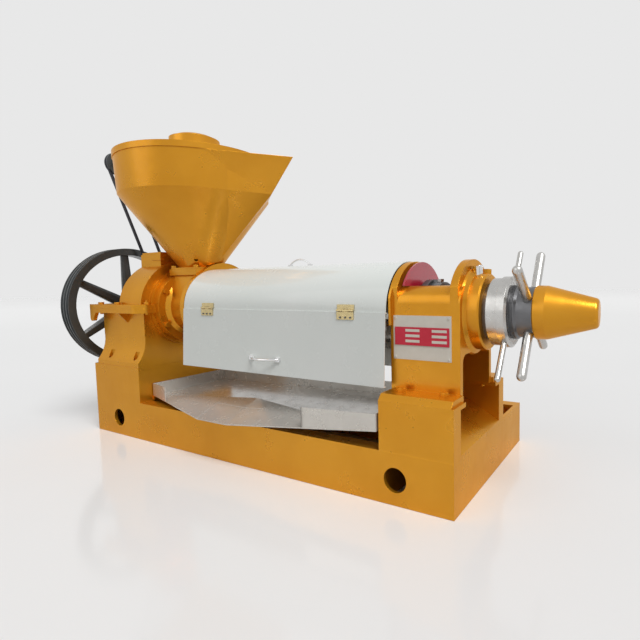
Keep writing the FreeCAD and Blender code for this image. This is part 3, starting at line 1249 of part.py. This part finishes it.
def oil_tray():
    x0, x1 = TRAY_X0, TRAY_X1
    lip0, lip1 = XP + LIP[0], XP + LIP[1]
    rim = prism_y([(x0 - 1, 50), (x0 - 1, floor_z(x0) + TRAY_WALL), (x1 + 1, floor_z(x1) + TRAY_WALL), (x1 + 1, 50)],
                  YF - 100, TRAY_YB + 1)
    skin = tray_solid(0, False).common(rim).cut(tray_solid(TRAY_T, True))
    mouth = prism_y([(lip0 - 190, 320), (lip0 - 130, floor_z(lip0) + TRAY_WALL - 12),
                     (lip0 - 30, LIP_Z + 15), (lip0, LIP_Z + TRAY_T), (lip1, LIP_Z + TRAY_T),
                     (lip1 + 160, floor_z(lip1) + TRAY_WALL), (lip1 + 160, 320)], YF - 100, TRAY_YF + 30)
    return skin.cut(mouth)


def tray_runners():
    z0, z1 = floor_z(TRAY_X0) - GAP, floor_z(TRAY_X1 - RUNNER_W + 6) - GAP
    y0, y1 = YF + COLUMN_W + 5, YM - 20
    left = [box(XP, XP + RUNNER_W, y0, y1, z0 - 5, z0), box(XP, XP + 5, y0, y1, z0 - 18, z0 - 5)]
    right = [box(XQ - RUNNER_W, XQ, y0, y1, z1 - 5, z1), box(XQ - 5, XQ, y0, y1, z1 - 18, z1 - 5)]
    return group(left + right)


parts["oil_tray"] = oil_tray()
parts["tray_runners"] = tray_runners()

os.makedirs("parts", exist_ok=True)
for name, shape in parts.items():
    shape.exportStep("parts/" + name + ".step")
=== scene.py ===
import itertools
import json
import math

import bpy
from mathutils import Matrix, Vector


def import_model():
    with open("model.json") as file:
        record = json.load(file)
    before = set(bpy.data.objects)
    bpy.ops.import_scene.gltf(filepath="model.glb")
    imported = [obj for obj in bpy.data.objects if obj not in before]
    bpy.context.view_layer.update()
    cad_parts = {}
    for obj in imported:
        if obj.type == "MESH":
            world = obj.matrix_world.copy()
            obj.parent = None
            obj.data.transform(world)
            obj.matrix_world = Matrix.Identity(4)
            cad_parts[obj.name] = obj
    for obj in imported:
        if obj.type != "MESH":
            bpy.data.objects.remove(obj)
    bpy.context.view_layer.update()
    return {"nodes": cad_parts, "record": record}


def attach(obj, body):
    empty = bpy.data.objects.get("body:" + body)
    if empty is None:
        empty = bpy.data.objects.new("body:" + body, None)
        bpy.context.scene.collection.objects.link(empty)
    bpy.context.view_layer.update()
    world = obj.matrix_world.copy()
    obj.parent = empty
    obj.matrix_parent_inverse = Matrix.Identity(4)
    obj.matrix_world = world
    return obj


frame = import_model()
NODES = frame["nodes"]


# ---------------------------------------------------------------- node trees
class Surface:
    """A node material around one Principled shader."""

    def __init__(self, name, color=(0.8, 0.8, 0.8), rough=0.5, metal=0.0, **sockets):
        self.mat = bpy.data.materials.new(name)
        self.mat.use_nodes = True
        self.tree = self.mat.node_tree
        self.shader = self.tree.nodes["Principled BSDF"]
        self.put("Base Color", (*color, 1))
        self.put("Roughness", rough)
        self.put("Metallic", metal)
        for key, value in sockets.items():
            self.put(key.replace("_", " "), value)
        self.mat.diffuse_color = (*color, 1)
        self.place = self.tree.nodes.new("ShaderNodeTexCoord").outputs["Object"]

    def put(self, socket, value):
        target = self.shader.inputs[socket]
        if isinstance(value, bpy.types.NodeSocket):
            self.tree.links.new(value, target)
        else:
            target.default_value = value

    def node(self, kind, **settings):
        made = self.tree.nodes.new(kind)
        for key, value in settings.items():
            setattr(made, key, value)
        return made

    def feed(self, made, **inputs):
        for key, value in inputs.items():
            by_place = key[0] == "i" and key[1:].isdigit()
            target = made.inputs[int(key[1:]) if by_place else key]
            if isinstance(value, bpy.types.NodeSocket):
                self.tree.links.new(value, target)
            else:
                target.default_value = value
        return made

    def noise(self, scale, detail=3.0, rough=0.5):
        made = self.node("ShaderNodeTexNoise")
        self.feed(made, Vector=self.place, Scale=scale, Detail=detail, Roughness=rough)
        return made.outputs["Fac"]

    def mottle(self, scale, detail, first, second, low=0.3, high=0.7):
        """Base colour that drifts between two colours."""
        drift = self.ramp(self.noise(scale, detail, 0.6), low, high)
        self.put("Base Color", self.blend(drift, first, second))

    def ramp(self, value, low, high, a=0.0, b=1.0):
        made = self.feed(self.node("ShaderNodeMapRange"), Value=value)
        for key, number in (("From Min", low), ("From Max", high), ("To Min", a), ("To Max", b)):
            made.inputs[key].default_value = number
        return made.outputs[0]

    def blend(self, amount, first, second):
        made = self.node("ShaderNodeMix", data_type="RGBA")
        self.feed(made, i0=amount)
        for index, value in ((6, first), (7, second)):
            if isinstance(value, bpy.types.NodeSocket):
                self.tree.links.new(value, made.inputs[index])
            else:
                made.inputs[index].default_value = (*value, 1)
        return made.outputs[2]

    def relief(self, *layers, edge=0.0):
        """Bump layers of (height, distance), over edges rounded by edge metres."""
        normal = None
        if edge:
            normal = self.feed(self.node("ShaderNodeBevel", samples=4), Radius=edge).outputs[0]
        for height, distance in layers:
            made = self.node("ShaderNodeBump")
            self.feed(made, Height=height, Distance=distance, Strength=1.0)
            if normal is not None:
                self.tree.links.new(normal, made.inputs["Normal"])
            normal = made.outputs[0]
        self.put("Normal", normal)


def golden_paint():
    s = Surface("golden_paint", rough=0.30, metal=0.72, Coat_Weight=0.20, Coat_Roughness=0.12,
                Specular_Tint=(1.0, 0.75, 0.35, 1))
    patch = s.ramp(s.noise(3.5, 4, 0.55), 0.35, 0.65)
    s.put("Base Color", s.blend(patch, (0.62, 0.262, 0.012), (0.70, 0.315, 0.020)))
    s.put("Roughness", s.ramp(s.noise(9, 4, 0.6), 0.3, 0.7, 0.24, 0.38))
    s.relief((s.noise(420, 2, 0.5), 0.00006), (s.noise(26, 3, 0.5), 0.0006), edge=0.0016)
    return s.mat


def white_paint():
    s = Surface("white_paint", rough=0.22, Coat_Weight=0.4, Coat_Roughness=0.08)
    patch = s.ramp(s.noise(2.2, 3, 0.5), 0.3, 0.7)
    s.put("Base Color", s.blend(patch, (0.76, 0.80, 0.77), (0.82, 0.84, 0.82)))
    s.put("Roughness", s.ramp(s.noise(14, 4, 0.6), 0.3, 0.7, 0.18, 0.30))
    s.relief((s.noise(3.2, 2, 0.4), 0.0020), edge=0.0010)
    return s.mat


def steel(name, color, rough):
    s = Surface(name, color=color, rough=rough, metal=1.0)
    grain = s.noise(90, 4, 0.6)
    s.mottle(24, 4, color, tuple(0.86 * c for c in color), low=0.35)
    s.put("Roughness", s.ramp(grain, 0.3, 0.7, rough * 0.75, rough * 1.3))
    s.relief((grain, 0.00003), edge=0.0008)
    return s.mat


def wheel_paint():
    s = Surface("wheel_paint", rough=0.36, Coat_Weight=0.35, Coat_Roughness=0.2)
    s.mottle(12, 4, (0.030, 0.036, 0.038), (0.048, 0.055, 0.056), low=0.35)
    s.put("Roughness", s.ramp(s.noise(30, 3, 0.6), 0.3, 0.7, 0.28, 0.5))
    s.relief((s.noise(160, 3, 0.6), 0.0003), (s.noise(24, 2, 0.5), 0.0008), edge=0.003)
    return s.mat


def rubber():
    s = Surface("rubber", rough=0.55)
    s.mottle(60, 3, (0.010, 0.012, 0.022), (0.022, 0.024, 0.034))
    s.relief((s.noise(600, 2, 0.5), 0.0001), edge=0.0006)
    return s.mat


def red_paint():
    s = Surface("red_paint", rough=0.25, Coat_Weight=0.6, Coat_Roughness=0.06)
    s.mottle(14, 3, (0.42, 0.008, 0.030), (0.50, 0.014, 0.040))
    s.relief((s.noise(300, 2, 0.5), 0.0001), edge=0.0010)
    return s.mat


def tray_sheet():
    s = Surface("tray_sheet", rough=0.22, metal=0.35, Coat_Weight=0.3, Coat_Roughness=0.1)
    s.mottle(5, 4, (0.60, 0.57, 0.52), (0.68, 0.65, 0.60))
    s.put("Roughness", s.ramp(s.noise(26, 4, 0.7), 0.3, 0.7, 0.14, 0.32))
    s.relief((s.noise(5, 3, 0.5), 0.0008), edge=0.0010)
    return s.mat


def print_red():
    s = Surface("print_red", rough=0.35)
    drift = s.ramp(s.noise(40, 2, 0.5), 0.3, 0.7)
    s.put("Base Color", s.blend(drift, (0.62, 0.012, 0.040), (0.68, 0.020, 0.055)))
    return s.mat


def plate_print():
    s = Surface("plate_print", rough=0.35)
    drift = s.ramp(s.noise(40, 2, 0.5), 0.3, 0.7)
    s.put("Base Color", s.blend(drift, (0.74, 0.70, 0.62), (0.80, 0.76, 0.68)))
    s.relief((s.noise(200, 2, 0.5), 0.00005), edge=0.0004)
    return s.mat


GOLD = golden_paint()
WHITE = white_paint()
STEEL = steel("steel", (0.56, 0.55, 0.53), 0.30)
DARK_STEEL = steel("dark_steel", (0.16, 0.16, 0.165), 0.36)
CHROME = steel("chrome", (0.80, 0.80, 0.80), 0.10)
BRASS = steel("brass", (0.62, 0.50, 0.26), 0.28)
BRONZE = steel("bronze", (0.55, 0.36, 0.16), 0.32)
WHEEL = wheel_paint()
RUBBER = rubber()
RED = red_paint()
TRAY = tray_sheet()
PLATE = plate_print()
PRINT_RED = print_red()

SLOTS = {"golden_paint": GOLD, "white_paint": WHITE, "machined_steel": STEEL,
         "dark_steel": DARK_STEEL, "chrome": CHROME, "brass": BRASS, "bronze": BRONZE,
         "dark_wheel_paint": WHEEL, "rubber_belt": RUBBER, "red_paint": RED,
         "tray_sheet": TRAY, "plate_print": PLATE}


def dress(node, material):
    mesh = NODES[node].data
    mesh.materials.clear()
    mesh.materials.append(material)


for row in frame["record"]["subparts"]:
    dress(row["node"], SLOTS[row["material_slot"]])


# ---------------------------------------------------------------- small pieces
def span(node):
    """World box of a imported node: (low corner, high corner)."""
    obj = NODES[node]
    spots = [obj.matrix_world @ v.co for v in obj.data.vertices]
    return [Vector([pick(v[i] for v in spots) for i in range(3)]) for pick in (min, max)]


def piece(name, verts, faces, material, body):
    mesh = bpy.data.meshes.new(name)
    mesh.from_pydata(verts, [], faces)
    mesh.update()
    obj = bpy.data.objects.new(name, mesh)
    bpy.context.scene.collection.objects.link(obj)
    mesh.materials.append(material)
    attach(obj, body)
    return obj


BOX_FACES = [(0, 1, 3, 2), (4, 6, 7, 5), (0, 4, 5, 1), (2, 3, 7, 6), (0, 2, 6, 4), (1, 5, 7, 3)]


def blocks(name, boxes, material, body):
    """One piece of several upright boxes, each given by its low and high corner."""
    verts, faces = [], []
    for low, high in boxes:
        first = len(verts)
        verts += itertools.product(*zip(low, high))
        faces += [tuple(first + i for i in face) for face in BOX_FACES]
    return piece(name, verts, faces, material, body)


def studs(name, spots, radius, depth, material, body, sides=14):
    """Round heads standing out towards -Y from their spots."""
    verts, faces = [], []
    for x, y, z in spots:
        first = len(verts)
        for r, out in ((radius, 0), (radius, 0.6 * depth), (0.6 * radius, depth)):
            turns = [2 * math.pi * k / sides for k in range(sides)]
            verts += [(x + r * math.cos(t), y - out, z + r * math.sin(t)) for t in turns]
        for ring in range(2):
            a, b = first + ring * sides, first + (ring + 1) * sides
            faces += [(a + k, a + (k + 1) % sides, b + (k + 1) % sides, b + k)
                      for k in range(sides)]
        faces.append(tuple(first + 2 * sides + k for k in range(sides)))
    return piece(name, verts, faces, material, body)


PRINT_ROWS = ((0.635, 0.695), (0.515, 0.575), (0.395, 0.455))    # shares of the plate's height
PRINT_COLUMNS = ((0.22, 0.47), (0.68, 0.93))                     # shares of its width
RIVET_X, RIVET_Z = (0.035, 0.965), (0.04, 0.96)
RIVET_R, RIVET_H = 0.0022, 0.0012


def nameplate_print():
    """Blank plate: a red field with six empty white boxes, and a rivet in each corner."""
    low, high = span("nameplate")
    wide, tall, front = high.x - low.x, high.z - low.z, low.y

    def area(x0, x1, z0, z1, lift):
        return ((low.x + x0 * wide, front - lift, low.z + z0 * tall),
                (low.x + x1 * wide, front + 0.0002, low.z + z1 * tall))

    blocks("nameplate_field", [area(0.03, 0.97, 0.33, 0.74, 0.0002)], PRINT_RED, "press")
    cells = [area(*column, *row, 0.0004) for row in PRINT_ROWS for column in PRINT_COLUMNS]
    blocks("nameplate_boxes", cells, PLATE, "press")
    corners = [(low.x + x * wide, front, low.z + z * tall) for x in RIVET_X for z in RIVET_Z]
    studs("nameplate_rivets", corners, RIVET_R, RIVET_H, STEEL, "press")


HINGE_X = (-0.161, 0.441)
SCREW_STEP, SCREW_RISE = 0.018, 0.006
SCREW_R, SCREW_H, SCREW_SUNK = 0.0030, 0.0012, 0.0006


def hinge_screws():
    """Three small dark screws in a row on the lower leaf of each hinge."""
    low, _ = span("door_hinge_lower")
    row = [(x + step, low.y + SCREW_SUNK, low.z + SCREW_RISE)
           for x in HINGE_X for step in (-SCREW_STEP, 0, SCREW_STEP)]
    studs("hinge_screws", row, SCREW_R, SCREW_H, DARK_STEEL, "front_door")


# drive end, start and end of the lip, cake end, and the point where the floor's folds meet
TRAY_FLOOR = ((-0.493, -0.268, 0.163), (-0.110, -0.357, 0.143), (0.030, -0.357, 0.143),
              (0.578, -0.322, 0.193), (-0.040, -0.158, 0.1757))
FLOOR_INSET = 0.0022
FLOOR_LIFTS = (0.0006, 0.0020)      # under and upper side, within the sheet of 2.5 mm


def tray_floor():
    """Floor sheet of the tray, whole up to the pouring lip."""
    corners = [Vector(v) for v in TRAY_FLOOR]
    middle = sum(corners, Vector()) / len(corners)
    inner = [v + (middle - v).normalized() * FLOOR_INSET for v in corners]
    verts = [(v.x, v.y, v.z + lift) for lift in FLOOR_LIFTS for v in inner]
    faces = [(0, 4, 1), (1, 4, 2), (2, 4, 3), (5, 6, 9), (6, 7, 9), (7, 8, 9),
             (0, 1, 6, 5), (1, 2, 7, 6), (2, 3, 8, 7), (3, 4, 9, 8), (4, 0, 5, 9)]
    piece("tray_floor", verts, faces, TRAY, "oil_tray")


nameplate_print()
hinge_screws()
tray_floor()

# ---------------------------------------------------------------- stage
BACKDROP = 0.807
AMBIENT = 0.32
LAMPS = (("key", (0.72, -0.30, 1.0), 2.1, 28), ("fill", (-0.5, -1.0, 0.6), 0.38, 45))
FLOOR_HALF = 40.0
FLOOR_DROP = 0.0005


def level():
    """Light on open floor, as a share of the light that renders a colour as written."""
    return AMBIENT + sum(power * Vector(way).normalized().z / math.pi for _, way, power, _ in LAMPS)


def seen_directly(tree):
    """1 on rays from the camera, off gloss and through glass; 0 on the rest."""
    path = tree.nodes.new("ShaderNodeLightPath")
    total = path.outputs["Is Camera Ray"]
    for name in ("Is Glossy Ray", "Is Transmission Ray"):
        either = tree.nodes.new("ShaderNodeMath")
        either.operation = "MAXIMUM"
        tree.links.new(total, either.inputs[0])
        tree.links.new(path.outputs[name], either.inputs[1])
        total = either.outputs[0]
    return total


def floor():
    mesh = bpy.data.meshes.new("floor")
    h = FLOOR_HALF
    mesh.from_pydata([(-h, -h, 0), (h, -h, 0), (h, h, 0), (-h, h, 0)], [], [(0, 1, 2, 3)])
    obj = bpy.data.objects.new("floor", mesh)
    bpy.context.scene.collection.objects.link(obj)
    obj.location.z = -FLOOR_DROP
    mat = bpy.data.materials.new("floor")
    mat.use_nodes = True
    tree = mat.node_tree
    pale = tree.nodes["Principled BSDF"]
    grey = BACKDROP / level()
    pale.inputs["Base Color"].default_value = (grey, grey, grey, 1)
    pale.inputs["Roughness"].default_value = 0.12
    pale.inputs["Specular IOR Level"].default_value = 0.35
    dull = tree.nodes.new("ShaderNodeBsdfDiffuse")
    dull.inputs["Color"].default_value = (0.30, 0.29, 0.27, 1)
    mix = tree.nodes.new("ShaderNodeMixShader")
    tree.links.new(seen_directly(tree), mix.inputs[0])
    tree.links.new(dull.outputs[0], mix.inputs[1])
    tree.links.new(pale.outputs[0], mix.inputs[2])
    tree.links.new(mix.outputs[0], tree.nodes["Material Output"].inputs["Surface"])
    mesh.materials.append(mat)


def world():
    made = bpy.data.worlds.new("studio")
    bpy.context.scene.world = made
    made.use_nodes = True
    tree = made.node_tree
    light = tree.nodes["Background"]
    light.inputs["Color"].default_value = (1, 1, 1, 1)
    light.inputs["Strength"].default_value = AMBIENT
    seen = tree.nodes.new("ShaderNodeBackground")
    seen.inputs["Color"].default_value = (BACKDROP, BACKDROP, BACKDROP, 1)
    mix = tree.nodes.new("ShaderNodeMixShader")
    tree.links.new(seen_directly(tree), mix.inputs[0])
    tree.links.new(light.outputs[0], mix.inputs[1])
    tree.links.new(seen.outputs[0], mix.inputs[2])
    tree.links.new(mix.outputs[0], tree.nodes["World Output"].inputs["Surface"])


def sun(name, towards, strength, angle):
    """Distant soft lamp; towards is the direction from the object to the lamp."""
    data = bpy.data.lights.new(name, "SUN")
    data.energy = strength
    data.angle = math.radians(angle)
    obj = bpy.data.objects.new(name, data)
    bpy.context.scene.collection.objects.link(obj)
    obj.rotation_euler = Vector(towards).to_track_quat("Z", "Y").to_euler()


world()
floor()
for lamp in LAMPS:
    sun(*lamp)

# ---------------------------------------------------------------- camera
EYE = Vector((1.2025, -1.2927, 0.5814))
YAW, PITCH, ROLL = math.radians(28.68), math.radians(4.29), math.radians(-0.77)
LENS = 24.83
SHIFT = (-0.1331, -0.0022)


def camera():
    data = bpy.data.cameras.new("camera")
    data.lens = LENS
    data.sensor_width = 36
    data.shift_x, data.shift_y = SHIFT
    data.clip_end = 200
    obj = bpy.data.objects.new("camera", data)
    bpy.context.scene.collection.objects.link(obj)
    flat = math.cos(PITCH)
    ahead = Vector((-math.sin(YAW) * flat, math.cos(YAW) * flat, -math.sin(PITCH)))
    right = Vector((math.cos(YAW), math.sin(YAW), 0))
    up = right.cross(ahead)
    x = right * math.cos(ROLL) + up * math.sin(ROLL)
    y = up * math.cos(ROLL) - right * math.sin(ROLL)
    turn = Matrix((x, y, -ahead)).transposed().to_4x4()
    obj.matrix_world = Matrix.Translation(EYE) @ turn
    bpy.context.scene.camera = obj


camera()
bpy.context.scene.view_settings.view_transform = "Standard"
